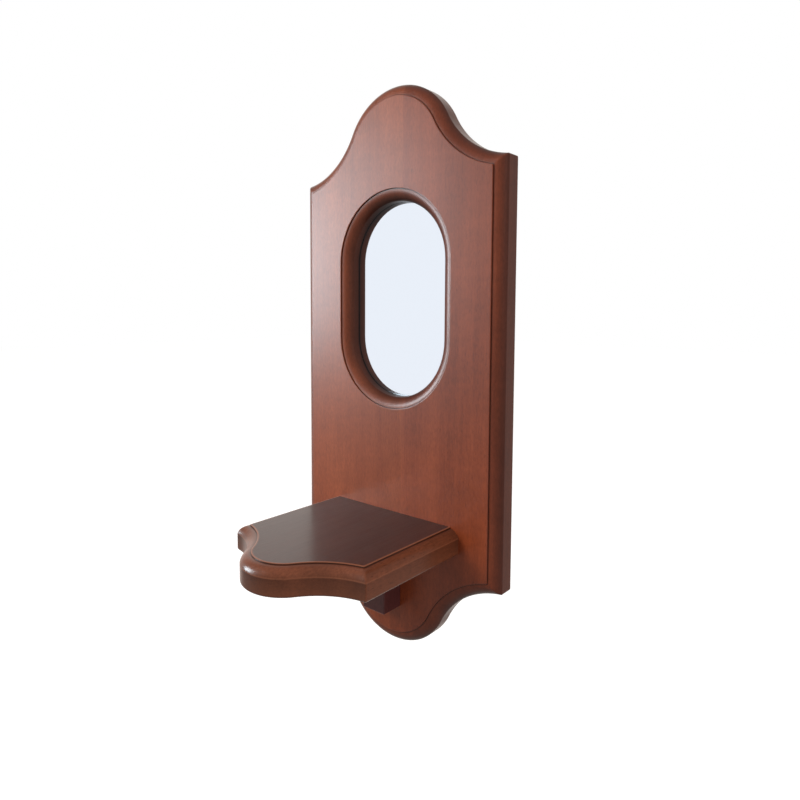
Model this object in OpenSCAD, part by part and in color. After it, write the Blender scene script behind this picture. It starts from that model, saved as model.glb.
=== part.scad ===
// Wall bracket in stained wood: an ogee-ended back board with a recessed mirror
// and a small serpentine shelf.
// Frame: X to the right of someone facing it, front towards -Y, Z up, in millimetres.
// Origin: on the wall plane, on the axis of the wall screw that the hanger slot rests on.

/* [Back board] */
// Height of the board from tail to crest
board_h = 300; // [290:1:330]
// Width of the board
board_w = 136; // [130:1:140]
// Thickness of the board
board_t = 13.5; // [12.5:0.5:18]
// Radius of the crest's arc
crest_r = 36.5; // [32:0.5:38]
// Half angle of the crest's arc, where the cove takes over
crest_angle = 62.5; // [60:0.5:66]
// Radius of the coves beside the crest
crest_cove_r = 46.5; // [44:0.5:50]
// Radius of the tail's arc
tail_r = 35; // [34:0.5:36]
// Half angle of the tail's arc
tail_angle = 63.5; // [60:0.5:66]
// Radius of the coves beside the tail
tail_cove_r = 46.5; // [45:0.5:50]
// Distance of the glued joint between the two staves from the centre line
stave_joint_x = 7.5; // [7:0.5:8]

/* [Edge moulding] */
// Width of the rounded edge, seen from the front
mould_w = 6; // [4:0.5:7]
// Depth of the rounded edge
mould_d = 4; // [3:0.5:5]
// Depth of the small step between the flat field and the round
quirk = 0.7; // [0.3:0.1:1]
// Radius that eases the back edges
back_round = 1.5; // [0.5:0.5:2]

/* [Mirror] */
// Width of the mirror opening, outside its moulding
opening_w = 76; // [70:1:80]
// Straight part of the opening's sides
opening_straight = 41; // [30:1:50]
// Height of the opening's centre above the tail
opening_z = 188; // [180:1:194]
// Depth of the mirror's face behind the board's front
mirror_depth = 9; // [8.5:0.25:9.5]
// Width of the lip that holds the mirror
lip_w = 3.5; // [3:0.5:5]
// Thickness of the mirror glass
glass_t = 2; // [1.5:0.25:2.25]
// Thickness of the felt sheet behind the glass
felt_t = 1; // [0.5:0.25:1.25]
// Play round the glass in its rabbet
glass_play = 0.4; // [0.2:0.1:1]

/* [Shelf] */
// Height of the shelf's top above the tail
shelf_z = 73.5; // [70:0.5:80]
// Width of the shelf
shelf_w = 90; // [80:1:94]
// Reach of the shelf from the board's front
shelf_reach = 93; // [85:1:100]
// Thickness of the shelf
shelf_t = 13.5; // [13:0.5:18]
// Radius of the shelf's middle lobe
lobe_r = 22.5; // [20:0.5:25]
// Half angle of the middle lobe's arc
lobe_angle = 55; // [50:1:60]
// Radius of the coves beside the lobe
lobe_cove_r = 38; // [36:0.5:42]
// Width of the shelf's rounded edge
shelf_mould_w = 5; // [4:0.5:6]

/* [Block under the shelf] */
// Width of the block
block_w = 15; // [12:0.5:15]
// Depth of the block from the board's front
block_d = 13.5; // [12:0.5:20]
// Height of the block
block_h = 38; // [36:0.5:45]

/* [Turn buttons] */
// Thickness of a turn button
button_t = 1; // [0.8:0.1:1.2]
// Width of a turn button
button_w = 8; // [7:0.5:10]
// Reach of a turn button from its screw towards the mirror
button_reach = 12; // [11:0.5:14]
// Distance of the button screws outside the rabbet
button_offset = 6.5; // [6:0.5:8]
// Running gap of the buttons above the board and below the screw head
button_gap = 0.3; // [0.3:0.05:0.4]
// Radial play of a button on its screw
button_play = 0.05; // [0.03:0.01:0.1]

/* [Hanger and wall pads] */
// Length of the keyhole hanger plate
plate_len = 40; // [39:0.5:42]
// Width of the hanger plate
plate_w = 15; // [13:0.5:16]
// Thickness of the hanger plate
plate_t = 1.2; // [1:0.1:1.5]
// Diameter of the round entry for the wall screw's head
entry_d = 9; // [8:0.5:10]
// Width of the slot for the wall screw's shank
slot_w = 4.6; // [4.2:0.1:5]
// Distance from the entry up to the slot's end
slot_rise = 10; // [9:0.5:10]
// Distance of the wall screw's axis below the crest
hang_drop = 28; // [26:0.5:30]
// Thickness of the wall pads
pad_t = 4; // [3.5:0.25:6]
// Diameter of the wall pads
pad_d = 12; // [8:1:16]

/* [Hidden] */
$fn = 96;
EPS = 0.01;

// steps along the curves of the moulded edges
COVE_STEPS = 10;
LOBE_STEPS = 24;
EASE_STEPS = 3;
ROUND_STEPS = 6;

// heights and places
hang_h = board_h - hang_drop;
half_w = board_w / 2;
front_y = pad_t + board_t;
shelf_base = shelf_z - shelf_t;
block_base = shelf_base - block_h;

// mirror opening
open_r = opening_w / 2 - mould_w;
half_straight = opening_straight / 2;
rabbet_d = board_t - mirror_depth;
rabbet_r = open_r + lip_w;
glass_r = rabbet_r - glass_play;
backing_t = rabbet_d - glass_t - felt_t;

// turn buttons, one on each diagonal of the opening's round ends
button_screw_d = 3;
button_screw_r = rabbet_r + button_offset;
button_end = button_w / 2;
button_screw_len = 10;

// wood screws and dowels
shelf_screw_x = 26;
shelf_dowel_x = 12;
shelf_fix_h = shelf_base + shelf_t / 2;
shelf_screw_d = 4;
shelf_screw_len = 38;
shelf_dowel_d = 6;
shelf_dowel_len = 20;
shelf_dowel_in_board = 8;
block_screw_d = 3.5;
block_screw_len = 18;
block_screw_h = [block_base + 7, block_base + 21];
block_dowel_d = 5;
block_dowel_len = 16;
counterbore_r = 4.5;
counterbore_d = 4.5;

// hanger pocket
pocket_r = 5.5;
pocket_d = 5;
plate_screw_d = 3;
plate_screw_pitch = 31;
plate_mid_h = hang_h - slot_rise / 2 - 0.5;
plate_screw_len = 9;

// wall pads
pad_x = 50;
pad_h = [62, 236];

board_edge = edge_profile(board_t, mould_w, mould_d);
shelf_edge = edge_profile(shelf_t, shelf_mould_w, mould_d);

wood_light = [0.55, 0.26, 0.16];
wood_mid = [0.47, 0.21, 0.13];
wood_dark = [0.40, 0.17, 0.11];

// ---- frames ----

// Board frame: x across, y up from the tail, z forward from the board's back
module on_board() {
    translate([0, -pad_t, -hang_h]) rotate([90, 0, 0]) children();
}

// Shelf frame: y forward from the board's front, z up from the shelf's underside
module on_shelf() {
    translate([0, -front_y, shelf_base - hang_h]) rotate([0, 0, 180]) children();
}

// ---- moulded slabs ----

// Points from the right side over the lobe to the left side, inset by i.
// The lobe's arc and the two coves share a tangent at the lobe's half angle.
function ogee(crest, r, angle, cove_r, half, i) =
    let (
        lobe_c = [0, crest - r],
        cove_c = lobe_c + (r + cove_r) * [sin(angle), cos(angle)],
        side = asin((half - i - cove_c[0]) / (cove_r + i)),
        cove = [for (k = [0:COVE_STEPS]) let (a = side - (angle + side) * k / COVE_STEPS)
            cove_c + (cove_r + i) * [sin(a), -cos(a)]],
        lobe = [for (k = [1:LOBE_STEPS - 1]) let (a = angle * (1 - 2 * k / LOBE_STEPS))
            lobe_c + (r - i) * [sin(a), cos(a)]]
    )
    concat(cove, lobe, [for (k = [COVE_STEPS:-1:0]) [-cove[k][0], cove[k][1]]]);

// The edge's section from the back to the field, as [inset, height] pairs:
// eased back edge, flat side, round of width w and depth d, and the small step
function edge_profile(t, w, d) =
    let (top = t - quirk, arc_r = (w * w + d * d) / (2 * d), full = asin(w / arc_r))
    concat(
        [for (k = [0:EASE_STEPS]) let (a = 90 * k / EASE_STEPS)
            [back_round * (1 - sin(a)), back_round * (1 - cos(a))]],
        [for (k = [0:ROUND_STEPS]) let (a = full * (1 - k / ROUND_STEPS))
            [w - arc_r * sin(a), top - arc_r * (1 - cos(a))]],
        [[w, t]]
    );

// Closed solid through rings of points, each ring an outline at its own height
module ring_solid(outlines, heights) {
    n = len(outlines[0]);
    m = len(outlines);
    points = [for (j = [0:m - 1]) for (p = outlines[j]) [p[0], p[1], heights[j]]];
    polyhedron(points, concat(
        [[for (k = [0:n - 1]) k]],
        [[for (k = [n - 1:-1:0]) (m - 1) * n + k]],
        [for (j = [0:m - 2]) for (k = [0:n - 1])
            [j * n + k, (j + 1) * n + k, (j + 1) * n + (k + 1) % n]],
        [for (j = [0:m - 2]) for (k = [0:n - 1])
            [j * n + k, (j + 1) * n + (k + 1) % n, j * n + (k + 1) % n]]
    ));
}

function board_outline(i) = concat(
    ogee(board_h, crest_r, crest_angle, crest_cove_r, half_w, i),
    [for (p = ogee(board_h, tail_r, tail_angle, tail_cove_r, half_w, i)) [-p[0], board_h - p[1]]]
);

function shelf_outline(i) = concat(
    ogee(shelf_reach, lobe_r, lobe_angle, lobe_cove_r, shelf_w / 2, i),
    [[i - shelf_w / 2, 0], [shelf_w / 2 - i, 0]]
);

// Section of the opening's moulded edge, the opening to the left of x = 0
module opening_edge() {
    top = board_t - quirk;
    arc_r = (mould_w * mould_w + mould_d * mould_d) / (2 * mould_d);
    square([mould_w + EPS, top - mould_d]);
    intersection() {
        translate([0, top - mould_d - EPS]) square([mould_w + EPS, mould_d + EPS]);
        translate([mould_w, top - arc_r]) circle(arc_r);
    }
}

// ---- mirror opening ----

module stadium(r) {
    square([2 * r, opening_straight], center = true);
    for (s = [-1, 1]) translate([0, s * half_straight]) circle(r);
}

// Half section of the opening: through hole, moulding and the rabbet behind
module opening_section() {
    difference() {
        translate([0, rabbet_d]) square([open_r + mould_w, mirror_depth + EPS]);
        translate([open_r, 0]) opening_edge();
    }
    translate([0, -EPS]) square([rabbet_r, rabbet_d + EPS]);
}

module opening_cut() {
    translate([0, opening_z, 0]) {
        translate([0, half_straight, 0]) rotate_extrude(angle = 180) opening_section();
        translate([0, -half_straight, 0]) rotate([0, 0, 180])
            rotate_extrude(angle = 180) opening_section();
        translate([0, half_straight, 0]) rotate([90, 0, 0]) linear_extrude(opening_straight) {
            opening_section();
            mirror([1, 0]) opening_section();
        }
    }
}

// ---- fasteners ----

// Wood screw: underside of the head at z = 0, shank towards +z
module wood_screw(d, len, head_d, head_h) {
    tip = d;
    recess_w = head_d * 0.16;
    cylinder(h = len - tip, d = d);
    translate([0, 0, len - tip]) cylinder(h = tip, d1 = d, d2 = d * 0.2);
    difference() {
        translate([0, 0, -head_h]) cylinder(h = head_h, d1 = head_d * 0.72, d2 = head_d);
        for (a = [0, 90]) rotate([0, 0, a])
            translate([-head_d * 0.28, -recess_w / 2, -head_h - EPS])
                cube([head_d * 0.56, recess_w, head_h * 0.6]);
    }
}

// Pilot hole that the screw fills
module pilot(d, len) {
    translate([0, 0, -EPS]) cylinder(h = len - d + EPS, d = d);
    translate([0, 0, len - d]) cylinder(h = d, d1 = d, d2 = d * 0.2);
}

module at_button_screws() {
    for (v = [-1, 1]) for (u = [-1, 1])
        translate([u * button_screw_r * sin(45), opening_z + v * (half_straight + button_screw_r * cos(45)), 0])
            children();
}

module at_plate_screws() {
    for (s = [-1, 1]) translate([0, plate_mid_h + s * plate_screw_pitch / 2, 0]) children();
}

module at_shelf_screws() {
    for (s = [-1, 1]) translate([s * shelf_screw_x, shelf_fix_h, counterbore_d]) children();
}

module at_block_screws() {
    for (h = block_screw_h) translate([0, h, counterbore_d]) children();
}

module at_shelf_dowels() {
    for (s = [-1, 1])
        translate([s * shelf_dowel_x, shelf_fix_h, board_t - shelf_dowel_in_board]) children();
}

module at_block_dowel() {
    translate([0, shelf_base - block_dowel_len / 2, board_t + block_d / 2]) rotate([-90, 0, 0]) children();
}

// ---- sub-parts ----

// The whole board, before it is parted into its two staves
module board_blank() {
    difference() {
        ring_solid([for (e = board_edge) board_outline(e[0])], [for (e = board_edge) e[1]]);
        opening_cut();
        at_button_screws() pilot(button_screw_d, button_screw_len - button_t - 2 * button_gap);
        at_plate_screws() pilot(plate_screw_d, plate_screw_len - plate_t);
        screw_head_pocket();
        at_shelf_screws() {
            translate([0, 0, -counterbore_d - EPS]) cylinder(h = counterbore_d + EPS, r = counterbore_r);
            pilot(shelf_screw_d, shelf_screw_len);
        }
        at_block_screws() {
            translate([0, 0, -counterbore_d - EPS]) cylinder(h = counterbore_d + EPS, r = counterbore_r);
            pilot(block_screw_d, block_screw_len);
        }
        at_shelf_dowels() cylinder(h = shelf_dowel_len, d = shelf_dowel_d);
    }
}

// Pocket behind the hanger plate, where the wall screw's head slides
module screw_head_pocket() {
    translate([0, hang_h, -EPS]) {
        cylinder(h = pocket_d + EPS, r = pocket_r);
        translate([0, -slot_rise, 0]) cylinder(h = pocket_d + EPS, r = pocket_r);
        translate([-pocket_r, -slot_rise, 0]) cube([2 * pocket_r, slot_rise, pocket_d + EPS]);
    }
}

module board_left() {
    color(wood_light) on_board() intersection() {
        board_blank();
        translate([-board_w, -1, -1]) cube([board_w + stave_joint_x, board_h + 2, board_t + 2]);
    }
}

module board_right() {
    color(wood_mid) on_board() intersection() {
        board_blank();
        translate([stave_joint_x, -1, -1]) cube([board_w, board_h + 2, board_t + 2]);
    }
}

module shelf() {
    color(wood_dark) difference() {
        on_shelf() ring_solid([for (e = shelf_edge) shelf_outline(e[0])], [for (e = shelf_edge) e[1]]);
        on_board() {
            at_shelf_screws() pilot(shelf_screw_d, shelf_screw_len);
            at_shelf_dowels() cylinder(h = shelf_dowel_len, d = shelf_dowel_d);
            at_block_dowel() cylinder(h = block_dowel_len, d = block_dowel_d);
        }
    }
}

module shelf_block() {
    color(wood_dark) on_board() difference() {
        translate([-block_w / 2, block_base, board_t]) cube([block_w, block_h, block_d]);
        at_block_screws() pilot(block_screw_d, block_screw_len);
        at_block_dowel() cylinder(h = block_dowel_len, d = block_dowel_d);
    }
}

module shelf_dowels() {
    color("burlywood") on_board() at_shelf_dowels() cylinder(h = shelf_dowel_len, d = shelf_dowel_d);
}

module block_dowel() {
    color("burlywood") on_board() at_block_dowel() cylinder(h = block_dowel_len, d = block_dowel_d);
}

module mirror_sheet(back, t) {
    on_board() translate([0, opening_z, back]) linear_extrude(t) stadium(glass_r);
}

module mirror_glass() {
    color("lightcyan") mirror_sheet(rabbet_d - glass_t, glass_t);
}

module mirror_felt() {
    color("dimgray") mirror_sheet(backing_t, felt_t);
}

module mirror_backing() {
    color("peru") mirror_sheet(0, backing_t);
}

// Turn button: z = 0 is its face towards the board, +y points to the mirror
module turn_button() {
    difference() {
        union() {
            cylinder(h = button_t, r = button_end);
            translate([-button_end, 0, 0]) cube([button_w, button_reach - button_end, button_t]);
            translate([0, button_reach - button_end, 0]) cylinder(h = button_t, r = button_end);
        }
        translate([0, 0, -EPS]) cylinder(h = button_t + 2 * EPS, r = button_screw_d / 2 + button_play);
    }
}

// The button on the diagonal with the signs u across and v up
module placed_button(u, v) {
    color("silver") on_board()
        translate([u * button_screw_r * sin(45), opening_z + v * (half_straight + button_screw_r * cos(45)),
                -button_gap - button_t])
            rotate([0, 0, v > 0 ? 180 - u * 45 : u * 45]) turn_button();
}

module turn_button_upper_left() { placed_button(-1, 1); }
module turn_button_upper_right() { placed_button(1, 1); }
module turn_button_lower_left() { placed_button(-1, -1); }
module turn_button_lower_right() { placed_button(1, -1); }

module turn_button_screws() {
    color("gainsboro") on_board() at_button_screws() translate([0, 0, -button_t - 2 * button_gap])
        wood_screw(button_screw_d, button_screw_len, 6, 1.6);
}

module hanger_plate() {
    half_len = plate_len / 2 - plate_w / 2;
    color("silver") on_board() difference() {
        translate([0, plate_mid_h, -plate_t]) {
            translate([-plate_w / 2, -half_len, 0]) cube([plate_w, 2 * half_len, plate_t]);
            for (s = [-1, 1]) translate([0, s * half_len, 0]) cylinder(h = plate_t, d = plate_w);
        }
        translate([0, 0, -plate_t - EPS]) {
            translate([0, hang_h - slot_rise, 0]) cylinder(h = plate_t + 2 * EPS, d = entry_d);
            translate([0, hang_h, 0]) cylinder(h = plate_t + 2 * EPS, d = slot_w);
            translate([-slot_w / 2, hang_h - slot_rise, 0]) cube([slot_w, slot_rise, plate_t + 2 * EPS]);
        }
        at_plate_screws() translate([0, 0, -plate_t - EPS])
            cylinder(h = plate_t + 2 * EPS, d = plate_screw_d);
    }
}

module hanger_screws() {
    color("gainsboro") on_board() at_plate_screws() translate([0, 0, -plate_t])
        wood_screw(plate_screw_d, plate_screw_len, 6, 1.6);
}

module shelf_screws() {
    color("gainsboro") on_board() at_shelf_screws() wood_screw(shelf_screw_d, shelf_screw_len, 8, 2.4);
}

module block_screws() {
    color("gainsboro") on_board() at_block_screws() wood_screw(block_screw_d, block_screw_len, 7, 2.2);
}

module wall_pads() {
    pad_ease = 0.6;
    color("dimgray") on_board() for (h = pad_h) for (s = [-1, 1])
        translate([s * pad_x, h, -pad_t]) {
            cylinder(h = pad_ease, d1 = pad_d - 2 * pad_ease, d2 = pad_d);
            translate([0, 0, pad_ease]) cylinder(h = pad_t - pad_ease, d = pad_d);
        }
}

board_left();
board_right();
shelf();
shelf_block();
shelf_dowels();
block_dowel();
mirror_glass();
mirror_felt();
mirror_backing();
turn_button_upper_left();
turn_button_upper_right();
turn_button_lower_left();
turn_button_lower_right();
turn_button_screws();
hanger_plate();
hanger_screws();
shelf_screws();
block_screws();
wall_pads();
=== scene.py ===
import math

import bmesh
import bpy
from mathutils import Matrix, Vector


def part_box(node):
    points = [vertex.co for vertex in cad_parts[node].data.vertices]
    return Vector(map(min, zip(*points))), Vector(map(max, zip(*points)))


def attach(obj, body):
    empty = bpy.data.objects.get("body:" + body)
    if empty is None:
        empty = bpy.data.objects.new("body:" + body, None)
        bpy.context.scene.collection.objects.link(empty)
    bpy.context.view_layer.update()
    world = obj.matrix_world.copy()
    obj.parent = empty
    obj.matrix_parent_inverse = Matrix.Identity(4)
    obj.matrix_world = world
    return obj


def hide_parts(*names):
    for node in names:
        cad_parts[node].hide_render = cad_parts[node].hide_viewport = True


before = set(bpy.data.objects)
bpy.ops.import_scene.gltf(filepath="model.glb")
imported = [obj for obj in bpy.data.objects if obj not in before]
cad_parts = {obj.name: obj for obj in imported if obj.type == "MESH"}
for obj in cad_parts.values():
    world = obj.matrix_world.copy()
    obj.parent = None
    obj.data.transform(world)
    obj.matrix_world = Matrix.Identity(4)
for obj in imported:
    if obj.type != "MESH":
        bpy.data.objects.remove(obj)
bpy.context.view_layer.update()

MM = 0.001

# ---- figures of the design, in millimetres and degrees ----

CREST = dict(r=36.5, angle=62.5, cove_r=46.5)
TAIL = dict(r=35.0, angle=63.5, cove_r=46.5)
LOBE = dict(r=22.5, angle=55.0, cove_r=38.0)
MOULD_W = 6.0
MOULD_D = 4.0
SHELF_MOULD_W = 5.0
QUIRK = 0.7
BACK_ROUND = 1.5
# How much of the painted side shading the back and the walls of its holes take.
BACK_SIDE_SHADING = 0.5
SOFT = 0.3
CORNER_SOFT = 0.7
LIP_W = 3.5
GLASS_PLAY = 0.4
MIRROR_DEPTH = 9.0
POCKET_R = 5.5
POCKET_DEPTH = 5.0
COUNTERBORE_R = 4.5
COUNTERBORE_DEPTH = 4.5
PLUG_PROUD = 1.0
BLOCK_SOFT = 0.5
BUTTON_HALF_W = 4.0
BUTTON_REACH = 12.0
BUTTON_HOLE_PLAY = 0.05
BUTTON_SCREW_HEAD_D = 6.0
STEEL_SOFT = 0.2
PAD_R = 6.0
PAD_ROUND = 0.8
KEYHOLE_ENTRY_D = 9.0
KEYHOLE_SLOT_W = 4.6
KEYHOLE_RISE = 10.0
BUTTON_SCREW = dict(d=3.0, length=10.0, head_h=1.6)
PLATE_SCREW = dict(d=3.0, length=9.0, head_h=1.6)
SHELF_SCREW = dict(d=4.0, length=38.0, head_h=2.4)
BLOCK_SCREW = dict(d=3.5, length=18.0, head_h=2.2)
GRAIN_UP = 2
GRAIN_FORWARD = 1

# ---- sizes read from the frame, in millimetres ----

left_lo, left_hi = (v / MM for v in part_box("board_left"))
right_lo, right_hi = (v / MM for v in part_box("board_right"))
shelf_lo, shelf_hi = (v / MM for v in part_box("shelf"))
glass_lo, glass_hi = (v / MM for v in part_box("mirror_glass"))

BOARD_W = right_hi.x - left_lo.x
BOARD_H = left_hi.z - left_lo.z
BOARD_T = left_hi.y - left_lo.y
BACK_Y = left_hi.y
FRONT_Y = left_lo.y
TAIL_Z = left_lo.z
JOINT_X = left_hi.x
SHELF_W = shelf_hi.x - shelf_lo.x
SHELF_REACH = shelf_hi.y - shelf_lo.y
SHELF_T = shelf_hi.z - shelf_lo.z
GLASS_R = (glass_hi.x - glass_lo.x) / 2
HALF_STRAIGHT = (glass_hi.z - glass_lo.z) / 2 - GLASS_R
OPEN_R = GLASS_R + GLASS_PLAY - LIP_W
OPEN_H = (glass_hi.z + glass_lo.z) / 2 - TAIL_Z
RABBET_D = BOARD_T - MIRROR_DEPTH


def on_board(x, h, t):
    """Board frame, in mm: x across, h up from the tail, t forward from the board's back."""
    return Vector((x, BACK_Y - t, TAIL_Z + h)) * MM


def in_opening(x, y, t):
    """As on_board, with y up from the opening's middle."""
    return on_board(x, OPEN_H + y, t)


def on_shelf(x, d, t):
    """Shelf frame, in mm: x across, d forward from the board's front, t up from the underside."""
    return Vector((x, FRONT_Y - d, shelf_lo.z + t)) * MM


# ---- outlines and profiles, as lists of (a, b) in millimetres ----


def polar(centre, r, degrees):
    """Point at an angle that is measured from straight up, clockwise."""
    a = math.radians(degrees)
    return (centre[0] + r * math.sin(a), centre[1] + r * math.cos(a))


def ogee(crest, half, inset, r, angle, cove_r, cove_steps=28, lobe_steps=64):
    """From the right side over the lobe to the left side, inset by a distance. The side corners are eased."""
    lobe_c = (0.0, crest - r)
    cove_c = polar(lobe_c, r + cove_r, angle)
    side = math.degrees(math.asin((half - inset - cove_c[0]) / (cove_r + inset)))
    cove = []
    for k in range(cove_steps + 1):
        a = side - (angle + side) * k / cove_steps
        cove.append(polar(cove_c, cove_r + inset, 180 - a))
    corner = Vector(cove[0])
    down = corner + Vector((0, -CORNER_SOFT))
    along = corner + (Vector(cove[1]) - corner).normalized() * CORNER_SOFT
    eased = []
    for s in range(5):
        u = s / 4
        eased.append(tuple(down * (1 - u) ** 2 + corner * 2 * u * (1 - u) + along * u**2))
    right = eased + cove[1:]
    lobe = [polar(lobe_c, r - inset, angle * (1 - 2 * k / lobe_steps)) for k in range(1, lobe_steps)]
    left = [(-x, y) for x, y in reversed(right)]
    return right + lobe + left


def board_outline(inset):
    top = ogee(BOARD_H, BOARD_W / 2, inset, **CREST)
    bottom = ogee(BOARD_H, BOARD_W / 2, inset, **TAIL)
    return top + [(-x, BOARD_H - y) for x, y in bottom]


def shelf_outline(inset):
    half = SHELF_W / 2 - inset
    return ogee(SHELF_REACH, SHELF_W / 2, inset, **LOBE) + [(-half, 0.0), (half, 0.0)]


def stadium(r, half_straight=None, steps=32):
    h = HALF_STRAIGHT if half_straight is None else half_straight
    top = [polar((0, h), r, 90 - 180 * k / steps) for k in range(steps + 1)]
    return top + [(-x, -y) for x, y in top]


def circle(r, centre=(0.0, 0.0), steps=40):
    return [polar(centre, r, -360 * k / steps) for k in range(steps)]


def round_section(t, w, steps=14):
    """The moulding's round from the side up to the quirk, as (inset, height)."""
    top = t - QUIRK
    arc_r = (w * w + MOULD_D * MOULD_D) / (2 * MOULD_D)
    full = math.degrees(math.asin(w / arc_r))
    return [polar((w, top - arc_r), arc_r, -full * (1 - k / steps)) for k in range(steps + 1)]


def edge_profile(t, w):
    """From the foot of the side over the moulding to the field, as (inset, height, crease shade, highlight
    and wear, side shading).
    crease shade is painted shade in the quirk, highlight and wear is a lighter line along the arrises, a
    painted highlight with some wear, side shading is painted light and shade on the side and the round."""
    rows = []
    arc = round_section(t, w)
    for k, (i, h) in enumerate(arc):
        u = k / (len(arc) - 1)
        # Painted shade gathers at the top of the round by the quirk, a painted highlight with some wear lies
        # on the arris at its foot, and the painted side shading fades up the round.
        rows.append((i, h, max(0.0, u - 0.92) * 9, 0.4 if k == 0 else 0.0, 1.0 - 0.7 * u))
    return rows + [
        # Painted shade in the quirk, then a painted highlight with some wear on the field's arris.
        (w, t - QUIRK + 0.02, 1.0, 0.0, 0.2),
        (w + 0.03, t - SOFT, 0.5, 0.2, 0.2),
        (w + 0.1, t - 0.09, 0.0, 0.8, 0.1),
        (w + SOFT, t, 0.0, 0.9, 0.0),
        (w + 2 * SOFT, t, 0.0, 0.4, 0.0),
        (w + 4 * SOFT, t, 0.0, 0.0, 0.0),
    ]


def outer_profile(t, w):
    """From the flat back over the rounded back edge and the side to the field, as edge_profile."""
    # The back, its rounded edge and the side take part of the painted side shading, and their arrises a faint
    # painted highlight with some wear.
    rows = [(BACK_ROUND + 2.0, 0.0, 0.0, 0.0, BACK_SIDE_SHADING)]
    for k in range(7):
        a = math.radians(90 * k / 6)
        inset, height = BACK_ROUND * (1 - math.sin(a)), BACK_ROUND * (1 - math.cos(a))
        rows.append((inset, height, 0.0, 0.2, 0.75))
    foot_h = round_section(t, w)[0][1]
    rows += [(0.0, foot_h - 0.5, 0.0, 0.0, 0.75), (0.0, foot_h - 0.12, 0.0, 0.4, 0.8)]
    return rows + edge_profile(t, w)


def opening_profile():
    """From the field over the opening's moulding and wall to the rabbet, as edge_profile by radius."""
    edge = [(OPEN_R + inset, *rest) for inset, *rest in edge_profile(BOARD_T, MOULD_W)]
    fit_r = GLASS_R + GLASS_PLAY
    return edge[::-1] + [
        # The opening's wall takes the full painted side shading, and painted shade deepens down it to the
        # rabbet by the mirror.
        (OPEN_R, RABBET_D + 1.2, 0.2, 0.0, 1.0),
        (OPEN_R, RABBET_D + SOFT, 1.0, 0.0, 1.0),
        (OPEN_R + SOFT, RABBET_D, 1.0, 0.0, 1.0),
        (fit_r, RABBET_D, 0.0, 0.0, 1.0),
        (fit_r, SOFT, 0.0, 0.0, 1.0),
        (fit_r + SOFT, 0.0, 0.0, 0.0, BACK_SIDE_SHADING),
    ]


# ---- mesh helpers ----


def link(name, mesh):
    obj = bpy.data.objects.new(name, mesh)
    bpy.context.scene.collection.objects.link(obj)
    return obj


def mark_edges(mesh, degrees=32):
    """Smooth shading, broken where two faces meet at a real edge."""
    bm = bmesh.new()
    bm.from_mesh(mesh)
    limit = math.radians(degrees)
    for face in bm.faces:
        face.smooth = True
    for edge in bm.edges:
        if len(edge.link_faces) == 2:
            edge.smooth = edge.calc_face_angle(0.0) < limit
    bm.to_mesh(mesh)
    bm.free()


def weighted(obj):
    """Keeps flats flat beside their eased edges."""
    mod = obj.modifiers.new("flats", "WEIGHTED_NORMAL")
    mod.weight = 80
    mod.keep_sharp = True
    return obj


def add_ring(bm, layers, points, marks):
    verts = []
    for p in points:
        v = bm.verts.new(p)
        for layer, mark in zip(layers, marks):
            v[layer] = mark
        verts.append(v)
    return verts


def skin(bm, rings):
    """Quads between one closed ring of vertices and the next."""
    for low, high in zip(rings, rings[1:]):
        n = len(low)
        for k in range(n):
            bm.faces.new((low[k], low[(k + 1) % n], high[(k + 1) % n], high[k]))


def loop_edges(bm, ring):
    n = len(ring)
    edges = []
    for k in range(n):
        a, b = ring[k], ring[(k + 1) % n]
        edges.append(bm.edges.get((a, b)) or bm.edges.new((a, b)))
    return edges


def moulded_mesh(grain, rows, outline, place, hole_rows=None, hole_place=None):
    """A slab with moulded edges, and a moulded opening if hole_rows are given.
    grain is the axis that the wood's fibres run along."""
    bm = bmesh.new()
    # Three marks on each vertex: painted shade in creases and recesses, a painted highlight with some wear
    # along the arrises, and painted light and shade on the sides and rounds.
    layers = [bm.verts.layers.float.new(name) for name in ("crease_shade", "highlight_and_wear", "side_shading")]
    rings = []
    for inset, height, *marks in rows:
        points = [place(x, y, height) for x, y in outline(inset)]
        rings.append(add_ring(bm, layers, points, marks))
    skin(bm, rings)
    holes = []
    for r, height, *marks in hole_rows or []:
        points = [hole_place(x, y, height) for x, y in stadium(r)]
        holes.append(add_ring(bm, layers, points, marks))
    skin(bm, holes)
    for outer, inner in ((rings[-1], holes[:1]), (rings[0], holes[-1:])):
        edges = loop_edges(bm, outer)
        for ring in inner:
            edges += loop_edges(bm, ring)
        bmesh.ops.triangle_fill(bm, edges=edges, use_beauty=True, use_dissolve=False)
    bmesh.ops.remove_doubles(bm, verts=bm.verts, dist=1e-6)
    bmesh.ops.recalc_face_normals(bm, faces=bm.faces)
    end = bm.verts.layers.float.new("end")
    for v in bm.verts:
        v[end] = v.normal[grain] ** 2
    return bm


def cut_half(bm, x, keep_left):
    """One side of the plane at x, closed again along the cut."""
    half = bm.copy()
    geom = list(half.verts) + list(half.edges) + list(half.faces)
    bmesh.ops.bisect_plane(
        half,
        geom=geom,
        dist=1e-7,
        plane_co=(x, 0, 0),
        plane_no=(1, 0, 0),
        clear_outer=keep_left,
        clear_inner=not keep_left,
    )
    bmesh.ops.holes_fill(half, edges=[e for e in half.edges if e.is_boundary], sides=0)
    bmesh.ops.recalc_face_normals(half, faces=half.faces)
    return half


def to_mesh(name, bm):
    mesh = bpy.data.meshes.new(name)
    bm.to_mesh(mesh)
    bm.free()
    return mesh


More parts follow.
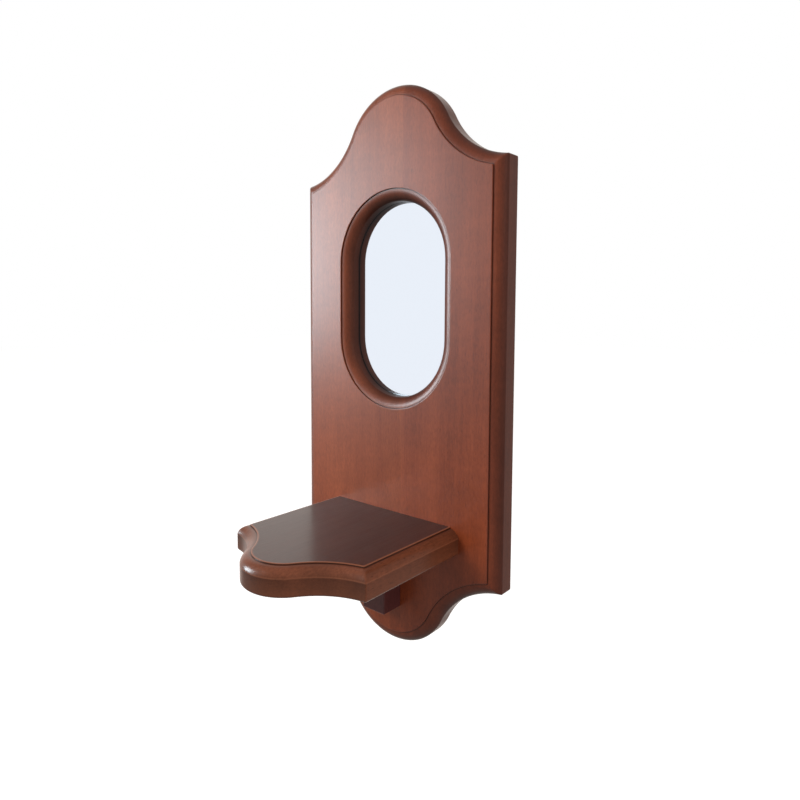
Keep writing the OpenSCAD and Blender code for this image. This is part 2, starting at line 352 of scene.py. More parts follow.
def lathe(profile, place, steps=48):
    """Turned mesh. profile is (radius, z) from one end of the axis to the other,
    and place turns (x, y, z) in mm into a point in the frame."""
    bm = bmesh.new()
    rings = []
    for r, z in profile:
        if r < 1e-6:
            rings.append([bm.verts.new(place(0, 0, z))])
            continue
        ring = []
        for k in range(steps):
            a = 2 * math.pi * k / steps
            ring.append(bm.verts.new(place(r * math.cos(a), r * math.sin(a), z)))
        rings.append(ring)
    for low, high in zip(rings, rings[1:]):
        for k in range(steps):
            j = (k + 1) % steps
            corners = [low[k % len(low)], low[j % len(low)], high[j % len(high)], high[k % len(high)]]
            corners = [v for i, v in enumerate(corners) if v not in corners[:i]]
            if len(corners) > 2:
                bm.faces.new(corners)
    bmesh.ops.recalc_face_normals(bm, faces=bm.faces)
    return bm


def flat_mesh(outlines, low, high, ease, place):
    """A sheet between two heights with eased edges. The first outline is its edge, the others are holes."""
    curve = bpy.data.curves.new("sheet", "CURVE")
    curve.dimensions = "2D"
    curve.fill_mode = "BOTH"
    curve.extrude = ((high - low) / 2 - ease) * MM
    curve.bevel_depth = ease * MM
    curve.bevel_resolution = 2
    curve.offset = -ease * MM
    for outline in outlines:
        spline = curve.splines.new("POLY")
        spline.points.add(len(outline) - 1)
        spline.use_cyclic_u = True
        for point, (x, y) in zip(spline.points, outline):
            point.co = (x * MM, y * MM, 0, 1)
    obj = bpy.data.objects.new("sheet", curve)
    mesh = bpy.data.meshes.new_from_object(obj)
    bpy.data.objects.remove(obj)
    bpy.data.curves.remove(curve)
    bm = bmesh.new()
    bm.from_mesh(mesh)
    bpy.data.meshes.remove(mesh)
    mid = (low + high) / 2
    for v in bm.verts:
        v.co = place(v.co.x / MM, v.co.y / MM, v.co.z / MM + mid)
    bmesh.ops.remove_doubles(bm, verts=bm.verts, dist=1e-7)
    bmesh.ops.recalc_face_normals(bm, faces=bm.faces)
    return bm


def subtract(obj, cutters):
    """Cuts closed meshes out of obj and keeps the result."""
    for k, bm in enumerate(cutters):
        tool = link("cutter", to_mesh("cutter", bm))
        mod = obj.modifiers.new(f"cut_{k}", "BOOLEAN")
        mod.operation = "DIFFERENCE"
        mod.solver = "EXACT"
        mod.object = tool
    bpy.context.view_layer.update()
    evaluated = obj.evaluated_get(bpy.context.evaluated_depsgraph_get())
    mesh = bpy.data.meshes.new_from_object(evaluated)
    for mod in list(obj.modifiers):
        tool = mod.object
        obj.modifiers.remove(mod)
        bpy.data.objects.remove(tool)
    obj.data = mesh
    return obj


def box_mesh(lo, hi, ease):
    """A box between two corners in metres, its edges eased."""
    bm = bmesh.new()
    bmesh.ops.create_cube(bm, size=1.0)
    for v in bm.verts:
        v.co = Vector(hi[i] if v.co[i] > 0 else lo[i] for i in range(3))
    bmesh.ops.bevel(bm, geom=list(bm.edges), offset=ease * MM, segments=3, profile=0.5, affect="EDGES")
    return bm


def piece(name, bm_or_mesh, material, body, slot, *nodes):
    """One finished piece in place of its CAD nodes."""
    mesh = to_mesh(name, bm_or_mesh) if isinstance(bm_or_mesh, bmesh.types.BMesh) else bm_or_mesh
    mesh.materials.clear()
    mesh.materials.append(material)
    mark_edges(mesh)
    obj = weighted(link(name, mesh))
    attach(obj, body)
    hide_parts(*nodes)
    return obj


# ---- materials ----


class Graph:
    """A material's node tree with short calls. Inputs are given by name or index, as values or sockets."""

    def __init__(self, name):
        self.material = bpy.data.materials.new(name)
        self.material.use_nodes = True
        self.tree = self.material.node_tree
        self.shader = self.tree.nodes["Principled BSDF"]
        self.coords = self.tree.nodes.new("ShaderNodeTexCoord").outputs["Object"]

    def add(self, kind, inputs=None, **settings):
        node = self.tree.nodes.new("ShaderNode" + kind)
        for key, value in settings.items():
            setattr(node, key, value)
        self.fill(node, inputs or {})
        return node

    def fill(self, node, inputs):
        for key, value in inputs.items():
            if isinstance(value, bpy.types.NodeSocket):
                self.tree.links.new(value, node.inputs[key])
            else:
                node.inputs[key].default_value = value

    def stretch(self, scale, offset=(0, 0, 0)):
        """The object's coordinates, in metres, multiplied along each axis."""
        return self.add("Mapping", {"Vector": self.coords, "Scale": scale, "Location": offset}).outputs[0]

    def noise(self, vector, scale=1.0, detail=2.0, rough=0.5, distort=0.0):
        node = self.add("TexNoise", {"Vector": vector, "Scale": scale, "Detail": detail})
        self.fill(node, {"Roughness": rough, "Distortion": distort})
        return node.outputs[0]

    def ramp(self, value, low, high, out_low=0.0, out_high=1.0):
        node = self.add("MapRange", {"Value": value, "From Min": low, "From Max": high})
        self.fill(node, {"To Min": out_low, "To Max": out_high})
        return node.outputs[0]

    def mix(self, factor, a, b, blend="MIX"):
        node = self.add("Mix", data_type="RGBA", blend_type=blend)
        self.fill(node, {0: factor, 6: a, 7: b})
        return node.outputs[2]

    def math(self, operation, a, b=0.0):
        return self.add("Math", {0: a, 1: b}, operation=operation).outputs[0]

    def attribute(self, name):
        return self.add("Attribute", attribute_name=name).outputs["Fac"]

    def bump(self, height, strength, distance):
        node = self.add("Bump", {"Height": height, "Strength": strength, "Distance": distance * MM})
        return node.outputs[0]

    def finish(self, inputs):
        self.fill(self.shader, inputs)
        return self.material


def rgb(r, g, b):
    return (r, g, b, 1.0)


def stained_wood(name, light, dark, edge, along, seed, coat_rough, highlight_and_wear_strength, crease_shade_strength):
    """Stained and lacquered wood. along is the axis that the grain follows, edge the colour painted onto the
    sides, rounds and opening wall, as painted light on the shelf and painted shade on the board, and the last
    two numbers the strengths of the lighter line along the arrises, a painted highlight with some wear, and
    of the darker line, painted shade in the quirks and recesses."""
    g = Graph(name)

    def grain(across, length, offset=0.0):
        scale = [1000.0 / across] * 3
        scale[along] = 1000.0 / length
        return g.stretch(scale, (seed + offset, seed * 1.7, seed * 0.6 + offset))

    def shade(colour, value):
        grey = g.add("CombineColor", {0: value, 1: value, 2: value}).outputs[0]
        return g.mix(1.0, colour, grey, "MULTIPLY")

    cloud = g.noise(grain(45, 90), detail=2.0)
    figure = g.noise(grain(9, 150, 3.1), detail=3.0, rough=0.55, distort=0.5)
    ripple = g.noise(grain(16, 6, 2.2), detail=2.0)
    fibre = g.noise(grain(0.8, 22, 7.7), detail=4.0, rough=0.6)
    hair = g.noise(grain(0.8, 2.2, 1.3), detail=2.0, rough=0.6)
    pore = g.ramp(g.noise(grain(0.45, 3.2, 5.9), detail=1.0), 0.66, 0.74)

    tone = g.math("ADD", g.ramp(cloud, 0.3, 0.7, 0.0, 0.6), g.ramp(figure, 0.35, 0.65, 0.0, 0.4))
    colour = g.mix(tone, rgb(*light), rgb(*dark))
    # The side band: the edge colour is painted shade on the board's sides, rounds and opening wall, and
    # painted light on the shelf's sides and rounds.
    side_shading_colour = g.mix(g.ramp(figure, 0.35, 0.65), rgb(*edge), rgb(*[c * 0.75 for c in edge]))
    colour = g.mix(g.attribute("side_shading"), colour, side_shading_colour)
    colour = shade(colour, g.ramp(ripple, 0.3, 0.7, 0.94, 1.06))
    colour = shade(colour, g.ramp(fibre, 0.3, 0.7, 0.93, 1.07))
    colour = shade(colour, g.ramp(hair, 0.3, 0.7, 0.87, 1.13))
    colour = shade(colour, g.ramp(g.attribute("end"), 0.1, 1.0, 1.0, 0.36))
    deep = rgb(dark[0] * 0.4, dark[1] * 0.35, dark[2] * 0.35)
    colour = g.mix(g.math("MULTIPLY", pore, 0.4), colour, deep)
    # Painted shade, near black, in the quirks and down the opening's wall by the mirror.
    colour = g.mix(g.math("MULTIPLY", g.attribute("crease_shade"), crease_shade_strength), colour, rgb(0.016, 0.006, 0.005))
    # A lighter line along the arrises: a painted highlight, with some wear.
    highlight_and_wear_colour = rgb(edge[0] * 1.6, edge[1] * 1.9, edge[2] * 2.1)
    colour = g.mix(g.math("MULTIPLY", g.attribute("highlight_and_wear"), highlight_and_wear_strength), colour, highlight_and_wear_colour)

    relief = g.math("SUBTRACT", g.math("MULTIPLY", fibre, 0.5), pore)
    peel = g.noise(g.stretch((1100, 1100, 1100)), detail=2.0)
    return g.finish(
        {
            "Base Color": colour,
            "Roughness": g.ramp(fibre, 0.2, 0.8, 0.4, 0.5),
            "Normal": g.bump(relief, 0.25, 0.05),
            "Specular IOR Level": 0.12,
            "Coat Weight": 0.7,
            "Coat Roughness": coat_rough,
            "Coat IOR": 1.5,
            "Coat Normal": g.bump(peel, 0.12, 0.05),
        }
    )


def mirror_material():
    g = Graph("silvered_glass")
    haze = g.noise(g.stretch((30, 30, 30)), detail=2.0)
    return g.finish(
        {
            "Base Color": rgb(0.83, 0.885, 0.955),
            "Metallic": 1.0,
            "Roughness": g.ramp(haze, 0.3, 0.7, 0.01, 0.03),
        }
    )


def steel_material(name, colour, rough, seed):
    """Zinc-plated steel: fine scratches, and a mottled plating."""
    g = Graph(name)
    brush = g.noise(g.stretch((3000, 3000, 160), (seed, 0, 0)), detail=3.0)
    cloud = g.noise(g.stretch((260, 260, 260), (seed, 1, 2)), detail=3.0)
    base = g.mix(g.ramp(cloud, 0.35, 0.65), rgb(*colour), rgb(*[c * 0.78 for c in colour]))
    return g.finish(
        {
            "Base Color": base,
            "Metallic": 1.0,
            "Roughness": g.ramp(brush, 0.3, 0.7, rough - 0.07, rough + 0.08),
            "Normal": g.bump(brush, 0.1, 0.02),
        }
    )


def hardboard_material():
    """Pressed fibres: short flecks lighter and darker than the sheet."""
    g = Graph("hardboard")
    fleck = g.noise(g.stretch((900, 900, 350)), detail=4.0, rough=0.7)
    cloud = g.noise(g.stretch((60, 60, 60)), detail=2.0)
    base = g.mix(g.ramp(cloud, 0.3, 0.7), rgb(0.30, 0.185, 0.10), rgb(0.235, 0.14, 0.075))
    base = g.mix(g.ramp(fleck, 0.52, 0.7, 0.0, 0.5), base, rgb(0.42, 0.29, 0.17))
    return g.finish({"Base Color": base, "Roughness": 0.7, "Normal": g.bump(fleck, 0.3, 0.08)})


def rubber_material():
    g = Graph("pad_rubber")
    grit = g.noise(g.stretch((2500, 2500, 2500)), detail=3.0)
    base = g.mix(g.ramp(grit, 0.3, 0.7), rgb(0.018, 0.018, 0.018), rgb(0.035, 0.034, 0.033))
    return g.finish({"Base Color": base, "Roughness": 0.75, "Normal": g.bump(grit, 0.3, 0.03)})


def felt_material():
    g = Graph("felt")
    fuzz = g.noise(g.stretch((1800, 1800, 1800)), detail=5.0, rough=0.7)
    base = g.mix(g.ramp(fuzz, 0.3, 0.7), rgb(0.045, 0.045, 0.05), rgb(0.09, 0.09, 0.095))
    return g.finish(
        {"Base Color": base, "Roughness": 0.95, "Sheen Weight": 0.5, "Normal": g.bump(fuzz, 0.6, 0.1)}
    )


def dowel_material():
    """Plain beech with short dark flecks."""
    g = Graph("beech")
    fibre = g.noise(g.stretch((1500, 60, 1500)), detail=3.0)
    fleck = g.ramp(g.noise(g.stretch((1800, 400, 1800), (3, 1, 4)), detail=1.0), 0.62, 0.72)
    base = g.mix(g.ramp(fibre, 0.3, 0.7), rgb(0.62, 0.42, 0.25), rgb(0.52, 0.33, 0.18))
    base = g.mix(g.math("MULTIPLY", fleck, 0.5), base, rgb(0.30, 0.16, 0.08))
    return g.finish({"Base Color": base, "Roughness": 0.6, "Normal": g.bump(fibre, 0.2, 0.05)})


left_wood = stained_wood(
    "left_stave_wood",
    light=(0.365, 0.084, 0.027),
    dark=(0.225, 0.046, 0.015),
    # edge: painted shade on the sides, the rounds and the opening's wall.
    edge=(0.15, 0.042, 0.023),
    along=GRAIN_UP,
    seed=1.3,
    coat_rough=0.31,
    highlight_and_wear_strength=0.5,
    crease_shade_strength=0.9,
)
right_wood = stained_wood(
    "right_stave_wood",
    light=(0.335, 0.072, 0.024),
    dark=(0.20, 0.039, 0.013),
    # edge: painted shade on the sides, the rounds and the opening's wall.
    edge=(0.115, 0.031, 0.019),
    along=GRAIN_UP,
    seed=8.4,
    coat_rough=0.31,
    highlight_and_wear_strength=0.5,
    crease_shade_strength=0.9,
)
shelf_wood = stained_wood(
    "shelf_wood",
    light=(0.042, 0.010, 0.006),
    dark=(0.028, 0.006, 0.004),
    # edge: painted light on the shelf's sides and rounds, much lighter than its top.
    edge=(0.33, 0.100, 0.046),
    along=GRAIN_FORWARD,
    seed=4.6,
    coat_rough=0.22,
    highlight_and_wear_strength=0.6,
    crease_shade_strength=0.6,
)
block_wood = stained_wood(
    "block_wood",
    light=(0.130, 0.038, 0.036),
    dark=(0.085, 0.024, 0.024),
    edge=(0.13, 0.038, 0.036),
    along=GRAIN_UP,
    seed=6.1,
    coat_rough=0.25,
    highlight_and_wear_strength=0.3,
    crease_shade_strength=0.5,
)
mirror_glass = mirror_material()
plate_steel = steel_material("plate_steel", (0.62, 0.62, 0.63), 0.34, 2.0)
screw_steel = steel_material("screw_steel", (0.72, 0.70, 0.64), 0.28, 5.0)
hardboard = hardboard_material()
rubber = rubber_material()
felt = felt_material()
beech = dowel_material()


# ---- wooden pieces ----


def round_cutter(r, depth, centre):
    """A plug to cut a round hole into the board's back with."""
    profile = [(0, -PLUG_PROUD), (r, -PLUG_PROUD), (r, depth), (0, depth)]
    return lathe(profile, lambda x, y, z: on_board(centre[0] + x, centre[1] + y, z))


def slot_cutter(r, depth, bottom, top):
    """A plug to cut an upright slot with round ends into the board's back with."""
    half = (top - bottom) / 2
    outline = stadium(r, half)
    mid = (top + bottom) / 2
    bm = bmesh.new()
    rings = []
    for t in (-PLUG_PROUD, depth):
        rings.append([bm.verts.new(on_board(x, mid + y, t)) for x, y in outline])
    bmesh.ops.remove_doubles(bm, verts=bm.verts, dist=1e-7)
    skin(bm, rings)
    bm.faces.new(rings[0])
    bm.faces.new(rings[1])
    bmesh.ops.recalc_face_normals(bm, faces=bm.faces)
    return bm


hang_h = -TAIL_Z
pocket = slot_cutter(POCKET_R, POCKET_DEPTH, hang_h - KEYHOLE_RISE, hang_h)
shelf_screw_lo, shelf_screw_hi = (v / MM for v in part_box("shelf_screws"))
SHELF_SCREW_HEAD_D = shelf_screw_hi.z - shelf_screw_lo.z
SHELF_SCREW_X = (shelf_screw_hi.x - shelf_screw_lo.x - SHELF_SCREW_HEAD_D) / 2
SHELF_SCREW_H = (shelf_screw_hi.z + shelf_screw_lo.z) / 2 - TAIL_Z
block_screw_lo, block_screw_hi = (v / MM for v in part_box("block_screws"))
BLOCK_SCREW_HEAD_D = block_screw_hi.x - block_screw_lo.x
BLOCK_SCREW_H = [
    block_screw_lo.z + BLOCK_SCREW_HEAD_D / 2 - TAIL_Z,
    block_screw_hi.z - BLOCK_SCREW_HEAD_D / 2 - TAIL_Z,
]
button_screw_lo, button_screw_hi = (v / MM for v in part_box("turn_button_screws"))
BUTTON_X = (button_screw_hi.x - button_screw_lo.x - BUTTON_SCREW_HEAD_D) / 2
BUTTON_H = (button_screw_hi.z - button_screw_lo.z - BUTTON_SCREW_HEAD_D) / 2


def side_shade_holes(mesh):
    """Gives the edges and walls of the holes in the back the back's own share of the painted side shading."""
    deepest = (BACK_Y - POCKET_DEPTH - SOFT) * MM
    for v, mark in zip(mesh.vertices, mesh.attributes["side_shading"].data):
        if v.co.y > deepest:
            mark.value = max(mark.value, BACK_SIDE_SHADING)


def make_board():
    bm = moulded_mesh(
        GRAIN_UP,
        outer_profile(BOARD_T, MOULD_W),
        board_outline,
        on_board,
        opening_profile(),
        in_opening,
    )
    holes = {True: [], False: []}
    holes[True].append(pocket)
    for side in (-1, 1):
        at = (side * SHELF_SCREW_X, SHELF_SCREW_H)
        holes[side < 0].append(round_cutter(COUNTERBORE_R, COUNTERBORE_DEPTH, at))
    for h in BLOCK_SCREW_H:
        holes[True].append(round_cutter(COUNTERBORE_R, COUNTERBORE_DEPTH, (0.0, h)))
    for is_left, name, material, slot in (
        (True, "board_left", left_wood, "left_stave"),
        (False, "board_right", right_wood, "right_stave"),
    ):
        half = cut_half(bm, JOINT_X * MM, is_left)
        blank = link("blank", to_mesh("blank", half))
        subtract(blank, holes[is_left])
        side_shade_holes(blank.data)
        piece("wood_" + name, blank.data, material, "bracket", slot, name)
        bpy.data.objects.remove(blank)
    bm.free()


def make_shelf():
    bm = moulded_mesh(GRAIN_FORWARD, outer_profile(SHELF_T, SHELF_MOULD_W), shelf_outline, on_shelf)
    piece("wood_shelf", bm, shelf_wood, "bracket", "shelf_wood", "shelf")


def make_block():
    lo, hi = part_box("shelf_block")
    bm = box_mesh(lo, hi, BLOCK_SOFT)
    piece("wood_shelf_block", bm, block_wood, "bracket", "shelf_wood", "shelf_block")


# ---- mirror and what holds it ----


def sheet_in_rabbet(name, node, ease, material, slot):
    lo, hi = (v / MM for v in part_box(node))
    bm = flat_mesh([stadium(GLASS_R)], BACK_Y - hi.y, BACK_Y - lo.y, ease, in_opening)
    return piece(name, bm, material, "bracket", slot, node)


def make_mirror():
    pane = sheet_in_rabbet("mirror_pane", "mirror_glass", 0.25, mirror_glass, "mirror")
    sheet_in_rabbet("felt_sheet", "mirror_felt", 0.3, felt, "felt")
    sheet_in_rabbet("hardboard_back", "mirror_backing", 0.15, hardboard, "hardboard")
    return pane


# ---- metal parts ----


def screw_profile(d, length, head_d, head_h):
    """Turned shape of a pan-head wood screw, from the dome to the tip, with a thread on the shank."""
    rows = [(0, -head_h)]
    for k in range(1, 9):
        a = math.radians(90 * k / 8)
        rows.append((head_d / 2 * math.sin(a) ** 0.8, -head_h * (0.35 + 0.65 * math.cos(a))))
    rows += [(head_d / 2, -0.15), (head_d / 2 - 0.15, 0.0), (d / 2, 0.0)]
    z = 0.6
    root = d / 2 * 0.72
    while z < length - d:
        rows += [(root, z), (d / 2, z + 0.35), (root, z + 0.7)]
        z += 1.1
    rows += [(root, length - d), (0.0, length)]
    return rows


def cross_recess(head_d, head_h, place):
    """The two blades that cut a screw's cross recess."""
    cutters = []
    for across, along in ((0.08, 0.30), (0.30, 0.08)):
        bm = bmesh.new()
        bmesh.ops.create_cube(bm, size=1.0)
        for v in bm.verts:
            taper = 0.55 if v.co.z > 0 else 1.0
            x = math.copysign(head_d * across * taper, v.co.x)
            y = math.copysign(head_d * along * taper, v.co.y)
            z = -head_h * 0.3 if v.co.z > 0 else -head_h - 1.0
            v.co = place(x, y, z)
        bmesh.ops.recalc_face_normals(bm, faces=bm.faces)
        cutters.append(bm)
    return cutters


def make_screws(name, node, spots, seat_t, head_d, d, length, head_h):
    """Screws at (x, h) spots, the underside of each head at height seat_t."""
    joined = bmesh.new()
    for k, (sx, sh) in enumerate(spots):
        turn = math.radians(25 + 50 * k)

        def place(x, y, z):
            c, s = math.cos(turn), math.sin(turn)
            return on_board(sx + c * x - s * y, sh + s * x + c * y, seat_t + z)

        turned = lathe(screw_profile(d, length, head_d, head_h), place, 40)
        blank = link("blank", to_mesh("blank", turned))
        subtract(blank, cross_recess(head_d, head_h, place))
        joined.from_mesh(blank.data)
        bpy.data.objects.remove(blank)
    return piece(name, joined, screw_steel, "bracket", "screw_steel", node)


def button_outline():
    """A turn button seen from behind, its screw at the origin and its tip towards +y."""
    half_w = BUTTON_HALF_W
    tip = [polar((0, BUTTON_REACH - half_w), half_w, 90 - 180 * k / 20) for k in range(21)]
    tail = [polar((0, 0), half_w, -90 - 180 * k / 20) for k in range(21)]
    return tip + tail


def make_buttons():
    hole = circle(BUTTON_SCREW["d"] / 2 + BUTTON_HOLE_PLAY)
    for v, row in ((1, "upper"), (-1, "lower")):
        for u, column in ((-1, "left"), (1, "right")):
            name = f"turn_button_{row}_{column}"
            lo, hi = (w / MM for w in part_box(name))
            turn = math.radians(180 - u * 45 if v > 0 else u * 45)
            cx, ch = u * BUTTON_X, OPEN_H + v * BUTTON_H

            def place(x, y, z):
                c, s = math.cos(turn), math.sin(turn)
                return on_board(cx + c * x - s * y, ch + s * x + c * y, z)

            bm = flat_mesh([button_outline(), hole], BACK_Y - hi.y, BACK_Y - lo.y, STEEL_SOFT, place)
            piece("steel_" + name, bm, plate_steel, name, "plate_steel", name)


def keyhole():
    """Round entry below, slot above, as one outline round the hang point."""
    half = KEYHOLE_SLOT_W / 2
    entry_r = KEYHOLE_ENTRY_D / 2
    neck = math.degrees(math.asin(half / entry_r))
    entry_c = (0.0, hang_h - KEYHOLE_RISE)
    slot_top = [polar((0.0, hang_h), half, 90 - 180 * k / 16) for k in range(17)]
    entry = [polar(entry_c, entry_r, -neck - (360 - 2 * neck) * k / 40) for k in range(41)]
    return slot_top + entry


def make_hanger():
    lo, hi = (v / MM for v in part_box("hanger_plate"))
    half_w = (hi.x - lo.x) / 2
    half_len = (hi.z - lo.z) / 2
    mid = (hi.z + lo.z) / 2 - TAIL_Z
    edge = [(x, mid + y) for x, y in stadium(half_w, half_len - half_w)]
    screw_lo, screw_hi = (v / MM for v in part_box("hanger_screws"))
    head = screw_hi.x - screw_lo.x
    pitch = screw_hi.z - screw_lo.z - head
    spots = [(0.0, mid - pitch / 2), (0.0, mid + pitch / 2)]
    holes = [circle(PLATE_SCREW["d"] / 2, spot) for spot in spots]
    low, high = BACK_Y - hi.y, BACK_Y - lo.y
    bm = flat_mesh([edge, keyhole()] + holes, low, high, STEEL_SOFT, on_board)
    piece("steel_hanger_plate", bm, plate_steel, "bracket", "plate_steel", "hanger_plate")
    make_screws("steel_hanger_screws", "hanger_screws", spots, low, head, **PLATE_SCREW)


def make_fasteners():
    seat = BACK_Y - button_screw_hi.y + BUTTON_SCREW["head_h"]
    spots = [(u * BUTTON_X, OPEN_H + v * BUTTON_H) for v in (-1, 1) for u in (-1, 1)]
    make_screws("steel_button_screws", "turn_button_screws", spots, seat, BUTTON_SCREW_HEAD_D, **BUTTON_SCREW)
    seat = COUNTERBORE_DEPTH
    spots = [(side * SHELF_SCREW_X, SHELF_SCREW_H) for side in (-1, 1)]
    make_screws("steel_shelf_screws", "shelf_screws", spots, seat, SHELF_SCREW_HEAD_D, **SHELF_SCREW)
    spots = [(0.0, h) for h in BLOCK_SCREW_H]
    make_screws("steel_block_screws", "block_screws", spots, seat, BLOCK_SCREW_HEAD_D, **BLOCK_SCREW)


def make_pads():
    lo, hi = (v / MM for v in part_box("wall_pads"))
    depth = hi.y - lo.y
    flat_r = PAD_R - PAD_ROUND
    profile = [(0, -depth), (flat_r, -depth)]
    for k in range(1, 7):
        a = math.radians(90 * k / 6)
        profile.append((flat_r + PAD_ROUND * math.sin(a), -depth + PAD_ROUND * (1 - math.cos(a))))
    profile += [(PAD_R, -0.3), (PAD_R - 0.2, 0.0), (0, 0.0)]
    joined = bmesh.new()
    for x in (lo.x + PAD_R, hi.x - PAD_R):
        for z in (lo.z + PAD_R, hi.z - PAD_R):
            bm = lathe(profile, lambda a, b, t: on_board(x + a, z - TAIL_Z + b, t))
            joined.from_mesh(to_mesh("pad", bm))
    piece("rubber_wall_pads", joined, rubber, "bracket", "pad_rubber", "wall_pads")


def dress_hidden_nodes():
    """The dowels stay as they are in the frame, inside the wood."""
    for node in ("shelf_dowels", "block_dowel"):
        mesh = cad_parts[node].data
        mesh.materials.clear()
        mesh.materials.append(beech)


make_board()
make_shelf()
make_block()
mirror_pane = make_mirror()
make_buttons()
make_hanger()
make_fasteners()
make_pads()
dress_hidden_nodes()


# ---- stage: floor, world, light and camera ----

CAMERA_AT = (218.5, -270.1, -87.4)
CAMERA_AZIMUTH = 39.84
CAMERA_PITCH = 4.14
CAMERA_ROLL = 0.30
CAMERA_LENS = 28.1
CAMERA_SHIFT = (-0.0026, -0.0605)
BACKDROP = 1.0
AMBIENT_ABOVE = 0.46
AMBIENT_BELOW = 0.16
REFLECTED_FRONT = 0.3
REFLECTED_BEHIND = 1.2
ROOM_TINT = (1.0, 0.91, 0.85, 1.0)
BEHIND = (-0.6, 0.8, 0.0)
FLOOR_DROP = 0.35
SHEEN = (0.86, 1.0, 1.07)
CARD = (0.98, 1.01, 1.05)


def make_camera():
    a, e, r = (math.radians(v) for v in (CAMERA_AZIMUTH, CAMERA_PITCH, CAMERA_ROLL))
    forward = Vector((-math.sin(a) * math.cos(e), math.cos(a) * math.cos(e), -math.sin(e)))
    level = Vector((math.cos(a), math.sin(a), 0.0))
    upright = level.cross(forward)
    right = level * math.cos(r) + upright * math.sin(r)
    up = upright * math.cos(r) - level * math.sin(r)
    data = bpy.data.cameras.new("camera")
    data.lens = CAMERA_LENS
    data.shift_x, data.shift_y = CAMERA_SHIFT
    data.clip_start, data.clip_end = 0.01, 50.0
    camera = bpy.data.objects.new("camera", data)
    bpy.context.scene.collection.objects.link(camera)
    turn = Matrix((right, up, -forward)).transposed().to_4x4()
    camera.matrix_world = Matrix.Translation(Vector(CAMERA_AT) * MM) @ turn
    bpy.context.scene.camera = camera


def make_world():
    """A white backdrop. As a source of light it is dimmer, and brighter from above.
    Reflections see it white only behind and to the left."""
    world = bpy.data.worlds.new("studio")
    world.use_nodes = True
    tree = world.node_tree

    def pick(factor, if_not, if_so):
        node = tree.nodes.new("ShaderNodeMix")
        for key, value in ((0, factor), (2, if_not), (3, if_so)):
            if isinstance(value, bpy.types.NodeSocket):
                tree.links.new(value, node.inputs[key])
            else:
                node.inputs[key].default_value = value
        return node.outputs[0]

    def ranged(value, low, high):
        node = tree.nodes.new("ShaderNodeMapRange")
        node.inputs["From Min"].default_value = low
        node.inputs["From Max"].default_value = high
        tree.links.new(value, node.inputs["Value"])
        return node.outputs[0]

    direction = tree.nodes.new("ShaderNodeTexCoord").outputs["Generated"]
    towards = tree.nodes.new("ShaderNodeVectorMath")
    towards.operation = "DOT_PRODUCT"
    towards.inputs[1].default_value = BEHIND
    tree.links.new(direction, towards.inputs[0])
    behind = ranged(towards.outputs["Value"], 0.45, 0.85)
    split = tree.nodes.new("ShaderNodeSeparateXYZ")
    tree.links.new(direction, split.inputs[0])
    above = ranged(split.outputs["Z"], -0.5, 0.5)
    path = tree.nodes.new("ShaderNodeLightPath")
    level = pick(behind, REFLECTED_FRONT, REFLECTED_BEHIND)
    ambient = pick(above, AMBIENT_BELOW, AMBIENT_ABOVE)
    level = pick(path.outputs["Is Diffuse Ray"], level, ambient)
    level = pick(path.outputs["Is Camera Ray"], level, BACKDROP)
    sky = tree.nodes["Background"]
    tint = tree.nodes.new("ShaderNodeMix")
    tint.data_type = "RGBA"
    tint.inputs[6].default_value = ROOM_TINT
    tint.inputs[7].default_value = rgb(1, 1, 1)
    tree.links.new(path.outputs["Is Camera Ray"], tint.inputs[0])
    tree.links.new(tint.outputs[2], sky.inputs["Color"])
    tree.links.new(level, sky.inputs["Strength"])
    bpy.context.scene.world = world


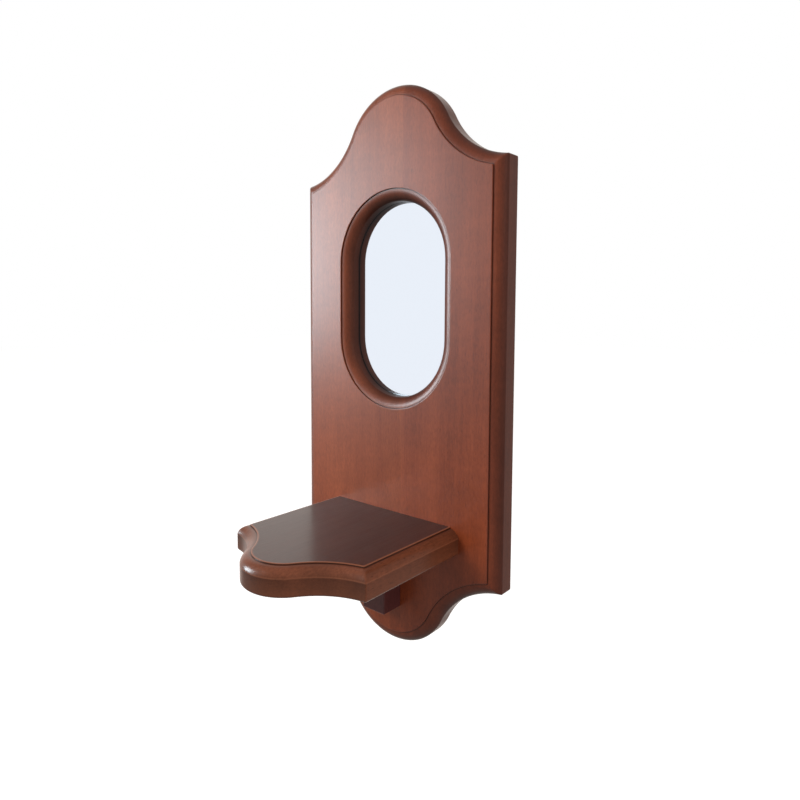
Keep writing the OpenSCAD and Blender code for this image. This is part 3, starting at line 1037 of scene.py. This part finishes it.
def make_floor():
    bm = bmesh.new()
    bmesh.ops.create_grid(bm, x_segments=1, y_segments=1, size=8.0)
    floor = link("floor", to_mesh("floor", bm))
    floor.location.z = TAIL_Z * MM - FLOOR_DROP
    material = bpy.data.materials.new("floor")
    material.use_nodes = True
    shader = material.node_tree.nodes["Principled BSDF"]
    shader.inputs["Base Color"].default_value = rgb(0.5, 0.5, 0.5)
    shader.inputs["Roughness"].default_value = 1.0
    shader.inputs["Specular IOR Level"].default_value = 0.0
    shader.inputs["Emission Color"].default_value = rgb(1, 1, 1)
    shader.inputs["Emission Strength"].default_value = 0.8
    floor.data.materials.append(material)
    floor.visible_diffuse = False
    floor.visible_glossy = False


def aim(obj, at, target):
    obj.location = at
    obj.rotation_mode = "QUATERNION"
    obj.rotation_quaternion = (Vector(target) - Vector(at)).to_track_quat("-Z", "Y")


def softbox(name, azimuth, elevation, distance, power, glossy=True, diffuse=True, color=(1, 1, 1)):
    """An area light that faces the board's middle and spans two ranges of angles, seen from there.
    Azimuth 0 is straight in front, negative to the left. power is what each square metre gives off."""
    a, e = (math.radians((v[0] + v[1]) / 2) for v in (azimuth, elevation))
    target = on_board(0, BOARD_H / 2, BOARD_T)
    back = Vector((math.sin(a) * math.cos(e), -math.cos(a) * math.cos(e), math.sin(e)))
    width, height = (2 * distance * math.tan(math.radians(v[1] - v[0]) / 2) for v in (azimuth, elevation))
    data = bpy.data.lights.new(name, "AREA")
    data.shape = "RECTANGLE"
    data.size, data.size_y = width, height
    data.energy = power * math.pi * width * height
    data.color = color
    light = bpy.data.objects.new(name, data)
    bpy.context.scene.collection.objects.link(light)
    light.visible_camera = False
    light.visible_glossy = glossy
    light.visible_diffuse = diffuse
    aim(light, target + back * distance, target)
    return light


def keep_off(obj, *lights):
    """Leaves obj out of what these lights shine on."""
    group = bpy.data.collections.new("kept_off")
    group.objects.link(obj)
    group.collection_objects[0].light_linking.link_state = "EXCLUDE"
    for light in lights:
        light.light_linking.receiver_collection = group


make_camera()
make_world()
make_floor()
sheen_low = softbox("sheen_low", (-66, -46), (-3, 12), 2.0, 18.0, diffuse=False, color=SHEEN)
sheen_high = softbox("sheen_high", (-62, -38), (12, 20), 2.0, 10.0, diffuse=False, color=SHEEN)
softbox("mirror_card", (-46, -31), (-12, 13), 2.2, 0.7, color=CARD)
softbox("key", (-62, -22), (24, 48), 2.0, 7.9, glossy=False)
softbox("fill_right", (60, 85), (5, 30), 2.0, 3.2, glossy=False)
keep_off(mirror_pane, sheen_low, sheen_high)
bpy.context.scene.view_settings.view_transform = "Standard"
